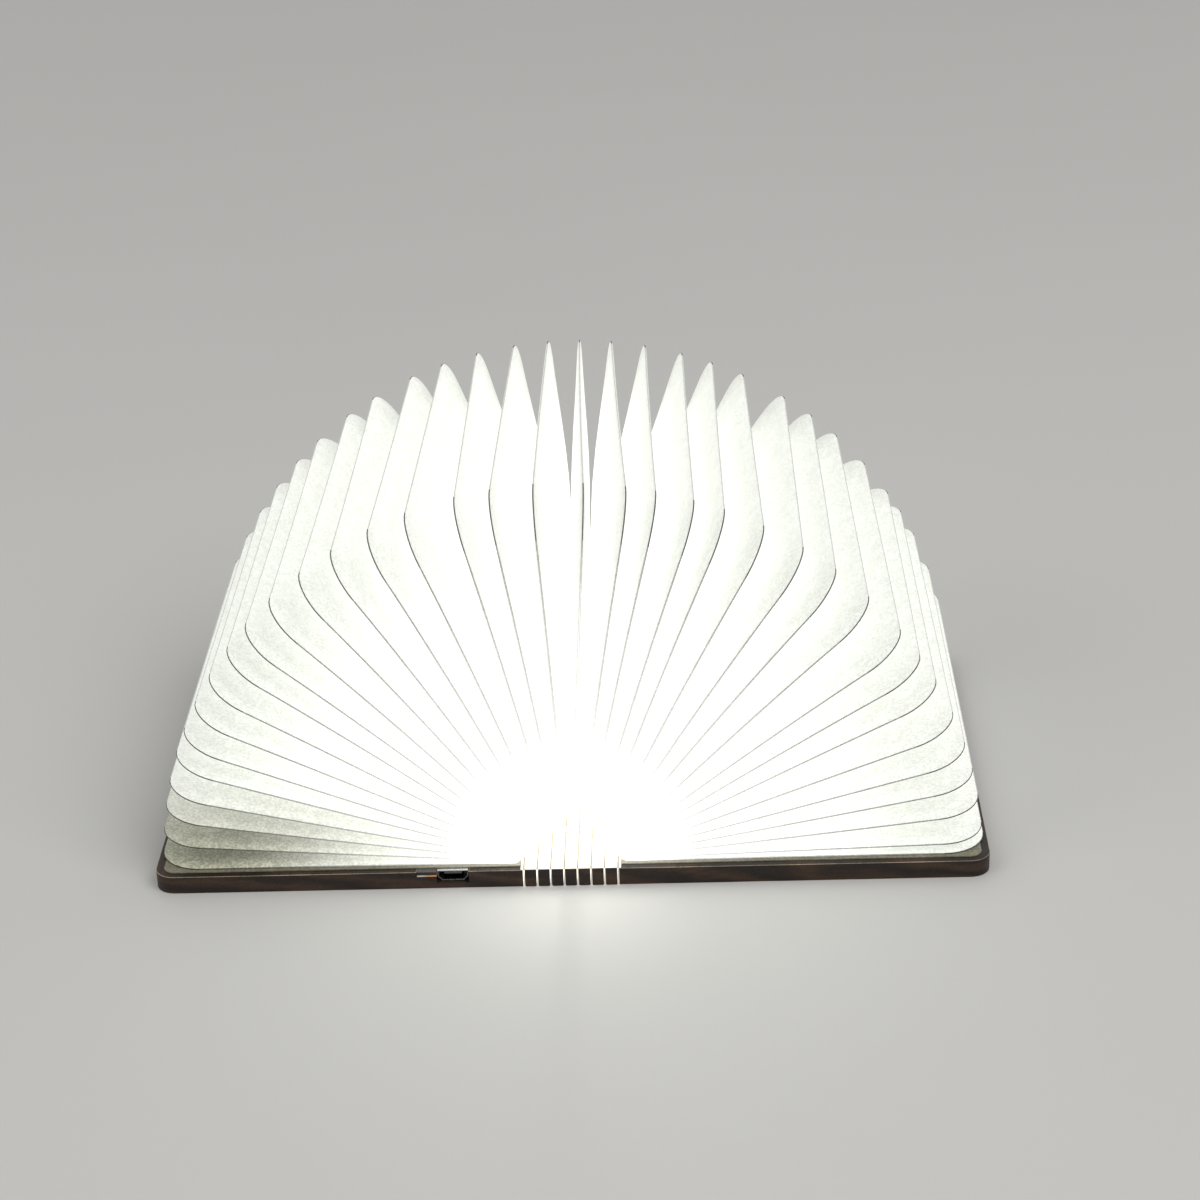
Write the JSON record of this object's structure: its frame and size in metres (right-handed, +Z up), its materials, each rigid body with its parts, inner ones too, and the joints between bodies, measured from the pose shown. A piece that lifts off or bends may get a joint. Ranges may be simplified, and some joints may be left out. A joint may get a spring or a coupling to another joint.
{
  "type": "folding book lamp",
  "caption": "Book-shaped lamp, open flat: wooden covers joined by a slatted spine, with a half-round fan of lit folded paper leaves.",
  "frame": {"origin": "under the middle of the spine, on the table, at the middle of the covers' length", "axes": "+X across the spine to the cover without electronics, +Y along the spine to the rear, +Z up"},
  "size_m": [0.205, 0.122, 0.1014],
  "materials": {
    "walnut": "satin dark walnut with a fine straight grain along the spine",
    "leaf_paper": "matt fibrous synthetic paper, lit from inside, with fine swirling fibres",
    "endpaper": "matt fibrous synthetic paper, glued flat",
    "liner_paper": "matt fibrous synthetic paper, scored over each slot",
    "fibreboard": "bare thin fibreboard",
    "cell_foil": "embossed pouch foil",
    "red_wire": "smooth silicone insulation",
    "circuit_board": "green solder mask",
    "port_steel": "plain pressed steel",
    "clear_window": "cloudy clear plastic",
    "black_plastic": "matt moulded plastic",
    "magnet_nickel": "nickel plate",
    "white_board": "white solder mask",
    "light_chip": "phosphor under clear resin",
    "flat_cable": "amber film over copper"
  },
  "bodies": {
    "spine_middle": {"slat_4": "walnut", "spine_liner": "liner_paper", "led_board": "white_board", "led_chips": "light_chip", "led_leads": "flat_cable"},
    "left_cover": {"board_left": "walnut", "endpaper_left": "endpaper", "pocket_lid": "fibreboard", "battery_cell": "cell_foil", "battery_leads": "red_wire", "control_board": "circuit_board", "charge_port": "port_steel", "charge_window": "clear_window", "hall_sensor": "black_plastic", "magnets_left": "magnet_nickel"},
    "right_cover": {"board_right": "walnut", "endpaper_right": "endpaper", "magnets_right": "magnet_nickel"},
    "slat_3": {"slat_3": "walnut"},
    "slat_2": {"slat_2": "walnut"},
    "slat_1": {"slat_1": "walnut"},
    "slat_5": {"slat_5": "walnut"},
    "slat_6": {"slat_6": "walnut"},
    "slat_7": {"slat_7": "walnut"},
    "leaf_01": {"leaf_01": "leaf_paper"},
    "leaf_02": {"leaf_02": "leaf_paper"},
    "leaf_03": {"leaf_03": "leaf_paper"},
    "leaf_04": {"leaf_04": "leaf_paper"},
    "leaf_05": {"leaf_05": "leaf_paper"},
    "leaf_06": {"leaf_06": "leaf_paper"},
    "leaf_07": {"leaf_07": "leaf_paper"},
    "leaf_08": {"leaf_08": "leaf_paper"},
    "leaf_09": {"leaf_09": "leaf_paper"},
    "leaf_10": {"leaf_10": "leaf_paper"},
    "leaf_11": {"leaf_11": "leaf_paper"},
    "leaf_12": {"leaf_12": "leaf_paper"},
    "leaf_13": {"leaf_13": "leaf_paper"},
    "leaf_14": {"leaf_14": "leaf_paper"},
    "leaf_15": {"leaf_15": "leaf_paper"},
    "leaf_16": {"leaf_16": "leaf_paper"},
    "leaf_17": {"leaf_17": "leaf_paper"},
    "leaf_18": {"leaf_18": "leaf_paper"},
    "leaf_19": {"leaf_19": "leaf_paper"},
    "leaf_20": {"leaf_20": "leaf_paper"},
    "leaf_21": {"leaf_21": "leaf_paper"},
    "leaf_22": {"leaf_22": "leaf_paper"},
    "leaf_23": {"leaf_23": "leaf_paper"},
    "leaf_24": {"leaf_24": "leaf_paper"},
    "leaf_25": {"leaf_25": "leaf_paper"},
    "leaf_26": {"leaf_26": "leaf_paper"},
    "leaf_27": {"leaf_27": "leaf_paper"},
    "leaf_28": {"leaf_28": "leaf_paper"},
    "leaf_29": {"leaf_29": "leaf_paper"},
    "leaf_30": {"leaf_30": "leaf_paper"},
    "leaf_31": {"leaf_31": "leaf_paper"},
    "leaf_32": {"leaf_32": "leaf_paper"},
    "leaf_33": {"leaf_33": "leaf_paper"},
    "leaf_34": {"leaf_34": "leaf_paper"},
    "leaf_35": {"leaf_35": "leaf_paper"},
    "leaf_36": {"leaf_36": "leaf_paper"}
  },
  "joints": [
    {"name": "right_cover_fold", "type": "hinge", "parent": "slat_7", "child": "right_cover", "pos_m": [0.01155, 0, 0.0046], "axis": [0, -1, 0], "range_deg": [0, 22.5], "deforming": ["spine_liner", "led_leads"]},
    {"name": "left_cover_fold", "type": "hinge", "parent": "slat_1", "child": "left_cover", "pos_m": [-0.01155, 0, 0.0046], "axis": [0, 1, 0], "range_deg": [0, 22.5]},
    {"name": "slat_3_fold", "type": "hinge", "parent": "spine_middle", "child": "slat_3", "pos_m": [-0.00165, 0, 0.0046], "axis": [0, 1, 0], "range_deg": [0, 22.5]},
    {"name": "slat_2_fold", "type": "hinge", "parent": "slat_3", "child": "slat_2", "pos_m": [-0.00495, 0, 0.0046], "axis": [0, 1, 0], "range_deg": [0, 22.5]},
    {"name": "slat_1_fold", "type": "hinge", "parent": "slat_2", "child": "slat_1", "pos_m": [-0.00825, 0, 0.0046], "axis": [0, 1, 0], "range_deg": [0, 22.5]},
    {"name": "slat_5_fold", "type": "hinge", "parent": "spine_middle", "child": "slat_5", "pos_m": [0.00165, 0, 0.0046], "axis": [0, -1, 0], "range_deg": [0, 22.5]},
    {"name": "slat_6_fold", "type": "hinge", "parent": "slat_5", "child": "slat_6", "pos_m": [0.00495, 0, 0.0046], "axis": [0, -1, 0], "range_deg": [0, 22.5]},
    {"name": "slat_7_fold", "type": "hinge", "parent": "slat_6", "child": "slat_7", "pos_m": [0.00825, 0, 0.0046], "axis": [0, -1, 0], "range_deg": [0, 22.5]},
    {"name": "leaf_01_turn", "type": "hinge", "parent": "spine_middle", "child": "leaf_01", "pos_m": [-0.00694, 0, 0.00674], "axis": [0, 1, 0], "range_deg": [0, 90]},
    {"name": "leaf_02_turn", "type": "hinge", "parent": "spine_middle", "child": "leaf_02", "pos_m": [-0.00663, 0, 0.00697], "axis": [0, 1, 0], "range_deg": [0, 86.56]},
    {"name": "leaf_03_turn", "type": "hinge", "parent": "spine_middle", "child": "leaf_03", "pos_m": [-0.00627, 0, 0.00717], "axis": [0, 1, 0], "range_deg": [0, 82.41]},
    {"name": "leaf_04_turn", "type": "hinge", "parent": "spine_middle", "child": "leaf_04", "pos_m": [-0.0059, 0, 0.00734], "axis": [0, 1, 0], "range_deg": [0, 77.95]},
    {"name": "leaf_05_turn", "type": "hinge", "parent": "spine_middle", "child": "leaf_05", "pos_m": [-0.00551, 0, 0.0075], "axis": [0, 1, 0], "range_deg": [0, 73.27]},
    {"name": "leaf_06_turn", "type": "hinge", "parent": "spine_middle", "child": "leaf_06", "pos_m": [-0.00512, 0, 0.00765], "axis": [0, 1, 0], "range_deg": [0, 68.42]},
    {"name": "leaf_07_turn", "type": "hinge", "parent": "spine_middle", "child": "leaf_07", "pos_m": [-0.00473, 0, 0.00779], "axis": [0, 1, 0], "range_deg": [0, 63.44]},
    {"name": "leaf_08_turn", "type": "hinge", "parent": "spine_middle", "child": "leaf_08", "pos_m": [-0.00433, 0, 0.00791], "axis": [0, 1, 0], "range_deg": [0, 58.34]},
    {"name": "leaf_09_turn", "type": "hinge", "parent": "spine_middle", "child": "leaf_09", "pos_m": [-0.00393, 0, 0.00802], "axis": [0, 1, 0], "range_deg": [0, 53.13]},
    {"name": "leaf_10_turn", "type": "hinge", "parent": "spine_middle", "child": "leaf_10", "pos_m": [-0.00352, 0, 0.00812], "axis": [0, 1, 0], "range_deg": [0, 47.83]},
    {"name": "leaf_11_turn", "type": "hinge", "parent": "spine_middle", "child": "leaf_11", "pos_m": [-0.00311, 0, 0.00821], "axis": [0, 1, 0], "range_deg": [0, 42.45]},
    {"name": "leaf_12_turn", "type": "hinge", "parent": "spine_middle", "child": "leaf_12", "pos_m": [-0.0027, 0, 0.0083], "axis": [0, 1, 0], "range_deg": [0, 36.99]},
    {"name": "leaf_13_turn", "type": "hinge", "parent": "spine_middle", "child": "leaf_13", "pos_m": [-0.00229, 0, 0.00837], "axis": [0, 1, 0], "range_deg": [0, 31.46]},
    {"name": "leaf_14_turn", "type": "hinge", "parent": "spine_middle", "child": "leaf_14", "pos_m": [-0.00188, 0, 0.00843], "axis": [0, 1, 0], "range_deg": [0, 25.87]},
    {"name": "leaf_15_turn", "type": "hinge", "parent": "spine_middle", "child": "leaf_15", "pos_m": [-0.00146, 0, 0.00848], "axis": [0, 1, 0], "range_deg": [0, 20.22]},
    {"name": "leaf_16_turn", "type": "hinge", "parent": "spine_middle", "child": "leaf_16", "pos_m": [-0.00105, 0, 0.00853], "axis": [0, 1, 0], "range_deg": [0, 14.51]},
    {"name": "leaf_17_turn", "type": "hinge", "parent": "spine_middle", "child": "leaf_17", "pos_m": [-0.00063, 0, 0.00856], "axis": [0, 1, 0], "range_deg": [0, 8.74]},
    {"name": "leaf_18_turn", "type": "hinge", "parent": "spine_middle", "child": "leaf_18", "pos_m": [-0.00021, 0, 0.00859], "axis": [0, 1, 0], "range_deg": [0, 2.93]},
    {"name": "leaf_19_turn", "type": "hinge", "parent": "spine_middle", "child": "leaf_19", "pos_m": [0.00021, 0, 0.00859], "axis": [0, -1, 0], "range_deg": [0, 2.93]},
    {"name": "leaf_20_turn", "type": "hinge", "parent": "spine_middle", "child": "leaf_20", "pos_m": [0.00063, 0, 0.00856], "axis": [0, -1, 0], "range_deg": [0, 8.74]},
    {"name": "leaf_21_turn", "type": "hinge", "parent": "spine_middle", "child": "leaf_21", "pos_m": [0.00105, 0, 0.00853], "axis": [0, -1, 0], "range_deg": [0, 14.51]},
    {"name": "leaf_22_turn", "type": "hinge", "parent": "spine_middle", "child": "leaf_22", "pos_m": [0.00146, 0, 0.00848], "axis": [0, -1, 0], "range_deg": [0, 20.22]},
    {"name": "leaf_23_turn", "type": "hinge", "parent": "spine_middle", "child": "leaf_23", "pos_m": [0.00188, 0, 0.00843], "axis": [0, -1, 0], "range_deg": [0, 25.87]},
    {"name": "leaf_24_turn", "type": "hinge", "parent": "spine_middle", "child": "leaf_24", "pos_m": [0.00229, 0, 0.00837], "axis": [0, -1, 0], "range_deg": [0, 31.46]},
    {"name": "leaf_25_turn", "type": "hinge", "parent": "spine_middle", "child": "leaf_25", "pos_m": [0.0027, 0, 0.0083], "axis": [0, -1, 0], "range_deg": [0, 36.99]},
    {"name": "leaf_26_turn", "type": "hinge", "parent": "spine_middle", "child": "leaf_26", "pos_m": [0.00311, 0, 0.00821], "axis": [0, -1, 0], "range_deg": [0, 42.45]},
    {"name": "leaf_27_turn", "type": "hinge", "parent": "spine_middle", "child": "leaf_27", "pos_m": [0.00352, 0, 0.00812], "axis": [0, -1, 0], "range_deg": [0, 47.83]},
    {"name": "leaf_28_turn", "type": "hinge", "parent": "spine_middle", "child": "leaf_28", "pos_m": [0.00393, 0, 0.00802], "axis": [0, -1, 0], "range_deg": [0, 53.13]},
    {"name": "leaf_29_turn", "type": "hinge", "parent": "spine_middle", "child": "leaf_29", "pos_m": [0.00433, 0, 0.00791], "axis": [0, -1, 0], "range_deg": [0, 58.34]},
    {"name": "leaf_30_turn", "type": "hinge", "parent": "spine_middle", "child": "leaf_30", "pos_m": [0.00473, 0, 0.00779], "axis": [0, -1, 0], "range_deg": [0, 63.44]},
    {"name": "leaf_31_turn", "type": "hinge", "parent": "spine_middle", "child": "leaf_31", "pos_m": [0.00512, 0, 0.00765], "axis": [0, -1, 0], "range_deg": [0, 68.42]},
    {"name": "leaf_32_turn", "type": "hinge", "parent": "spine_middle", "child": "leaf_32", "pos_m": [0.00551, 0, 0.0075], "axis": [0, -1, 0], "range_deg": [0, 73.27]},
    {"name": "leaf_33_turn", "type": "hinge", "parent": "spine_middle", "child": "leaf_33", "pos_m": [0.0059, 0, 0.00734], "axis": [0, -1, 0], "range_deg": [0, 77.95]},
    {"name": "leaf_34_turn", "type": "hinge", "parent": "spine_middle", "child": "leaf_34", "pos_m": [0.00627, 0, 0.00717], "axis": [0, -1, 0], "range_deg": [0, 82.41]},
    {"name": "leaf_35_turn", "type": "hinge", "parent": "spine_middle", "child": "leaf_35", "pos_m": [0.00663, 0, 0.00697], "axis": [0, -1, 0], "range_deg": [0, 86.56]},
    {"name": "leaf_36_turn", "type": "hinge", "parent": "spine_middle", "child": "leaf_36", "pos_m": [0.00694, 0, 0.00674], "axis": [0, -1, 0], "range_deg": [0, 90]}
  ],
  "couplings": [
    {"joint": "left_cover_fold", "follows": "right_cover_fold", "ratio": 1},
    {"joint": "slat_3_fold", "follows": "right_cover_fold", "ratio": 1},
    {"joint": "slat_2_fold", "follows": "right_cover_fold", "ratio": 1},
    {"joint": "slat_1_fold", "follows": "right_cover_fold", "ratio": 1},
    {"joint": "slat_5_fold", "follows": "right_cover_fold", "ratio": 1},
    {"joint": "slat_6_fold", "follows": "right_cover_fold", "ratio": 1},
    {"joint": "slat_7_fold", "follows": "right_cover_fold", "ratio": 1},
    {"joint": "leaf_01_turn", "follows": "right_cover_fold", "ratio": 4},
    {"joint": "leaf_02_turn", "follows": "right_cover_fold", "ratio": 3.8469},
    {"joint": "leaf_03_turn", "follows": "right_cover_fold", "ratio": 3.6626},
    {"joint": "leaf_04_turn", "follows": "right_cover_fold", "ratio": 3.4643},
    {"joint": "leaf_05_turn", "follows": "right_cover_fold", "ratio": 3.2564},
    {"joint": "leaf_06_turn", "follows": "right_cover_fold", "ratio": 3.041},
    {"joint": "leaf_07_turn", "follows": "right_cover_fold", "ratio": 2.8194},
    {"joint": "leaf_08_turn", "follows": "right_cover_fold", "ratio": 2.5926},
    {"joint": "leaf_09_turn", "follows": "right_cover_fold", "ratio": 2.3612},
    {"joint": "leaf_10_turn", "follows": "right_cover_fold", "ratio": 2.1257},
    {"joint": "leaf_11_turn", "follows": "right_cover_fold", "ratio": 1.8865},
    {"joint": "leaf_12_turn", "follows": "right_cover_fold", "ratio": 1.644},
    {"joint": "leaf_13_turn", "follows": "right_cover_fold", "ratio": 1.3983},
    {"joint": "leaf_14_turn", "follows": "right_cover_fold", "ratio": 1.1497},
    {"joint": "leaf_15_turn", "follows": "right_cover_fold", "ratio": 0.89842},
    {"joint": "leaf_16_turn", "follows": "right_cover_fold", "ratio": 0.64463},
    {"joint": "leaf_17_turn", "follows": "right_cover_fold", "ratio": 0.38845},
    {"joint": "leaf_18_turn", "follows": "right_cover_fold", "ratio": 0.13002},
    {"joint": "leaf_19_turn", "follows": "right_cover_fold", "ratio": 0.13002},
    {"joint": "leaf_20_turn", "follows": "right_cover_fold", "ratio": 0.38845},
    {"joint": "leaf_21_turn", "follows": "right_cover_fold", "ratio": 0.64463},
    {"joint": "leaf_22_turn", "follows": "right_cover_fold", "ratio": 0.89842},
    {"joint": "leaf_23_turn", "follows": "right_cover_fold", "ratio": 1.1497},
    {"joint": "leaf_24_turn", "follows": "right_cover_fold", "ratio": 1.3983},
    {"joint": "leaf_25_turn", "follows": "right_cover_fold", "ratio": 1.644},
    {"joint": "leaf_26_turn", "follows": "right_cover_fold", "ratio": 1.8865},
    {"joint": "leaf_27_turn", "follows": "right_cover_fold", "ratio": 2.1257},
    {"joint": "leaf_28_turn", "follows": "right_cover_fold", "ratio": 2.3612},
    {"joint": "leaf_29_turn", "follows": "right_cover_fold", "ratio": 2.5926},
    {"joint": "leaf_30_turn", "follows": "right_cover_fold", "ratio": 2.8194},
    {"joint": "leaf_31_turn", "follows": "right_cover_fold", "ratio": 3.041},
    {"joint": "leaf_32_turn", "follows": "right_cover_fold", "ratio": 3.2564},
    {"joint": "leaf_33_turn", "follows": "right_cover_fold", "ratio": 3.4643},
    {"joint": "leaf_34_turn", "follows": "right_cover_fold", "ratio": 3.6626},
    {"joint": "leaf_35_turn", "follows": "right_cover_fold", "ratio": 3.8469},
    {"joint": "leaf_36_turn", "follows": "right_cover_fold", "ratio": 4}
  ]
}
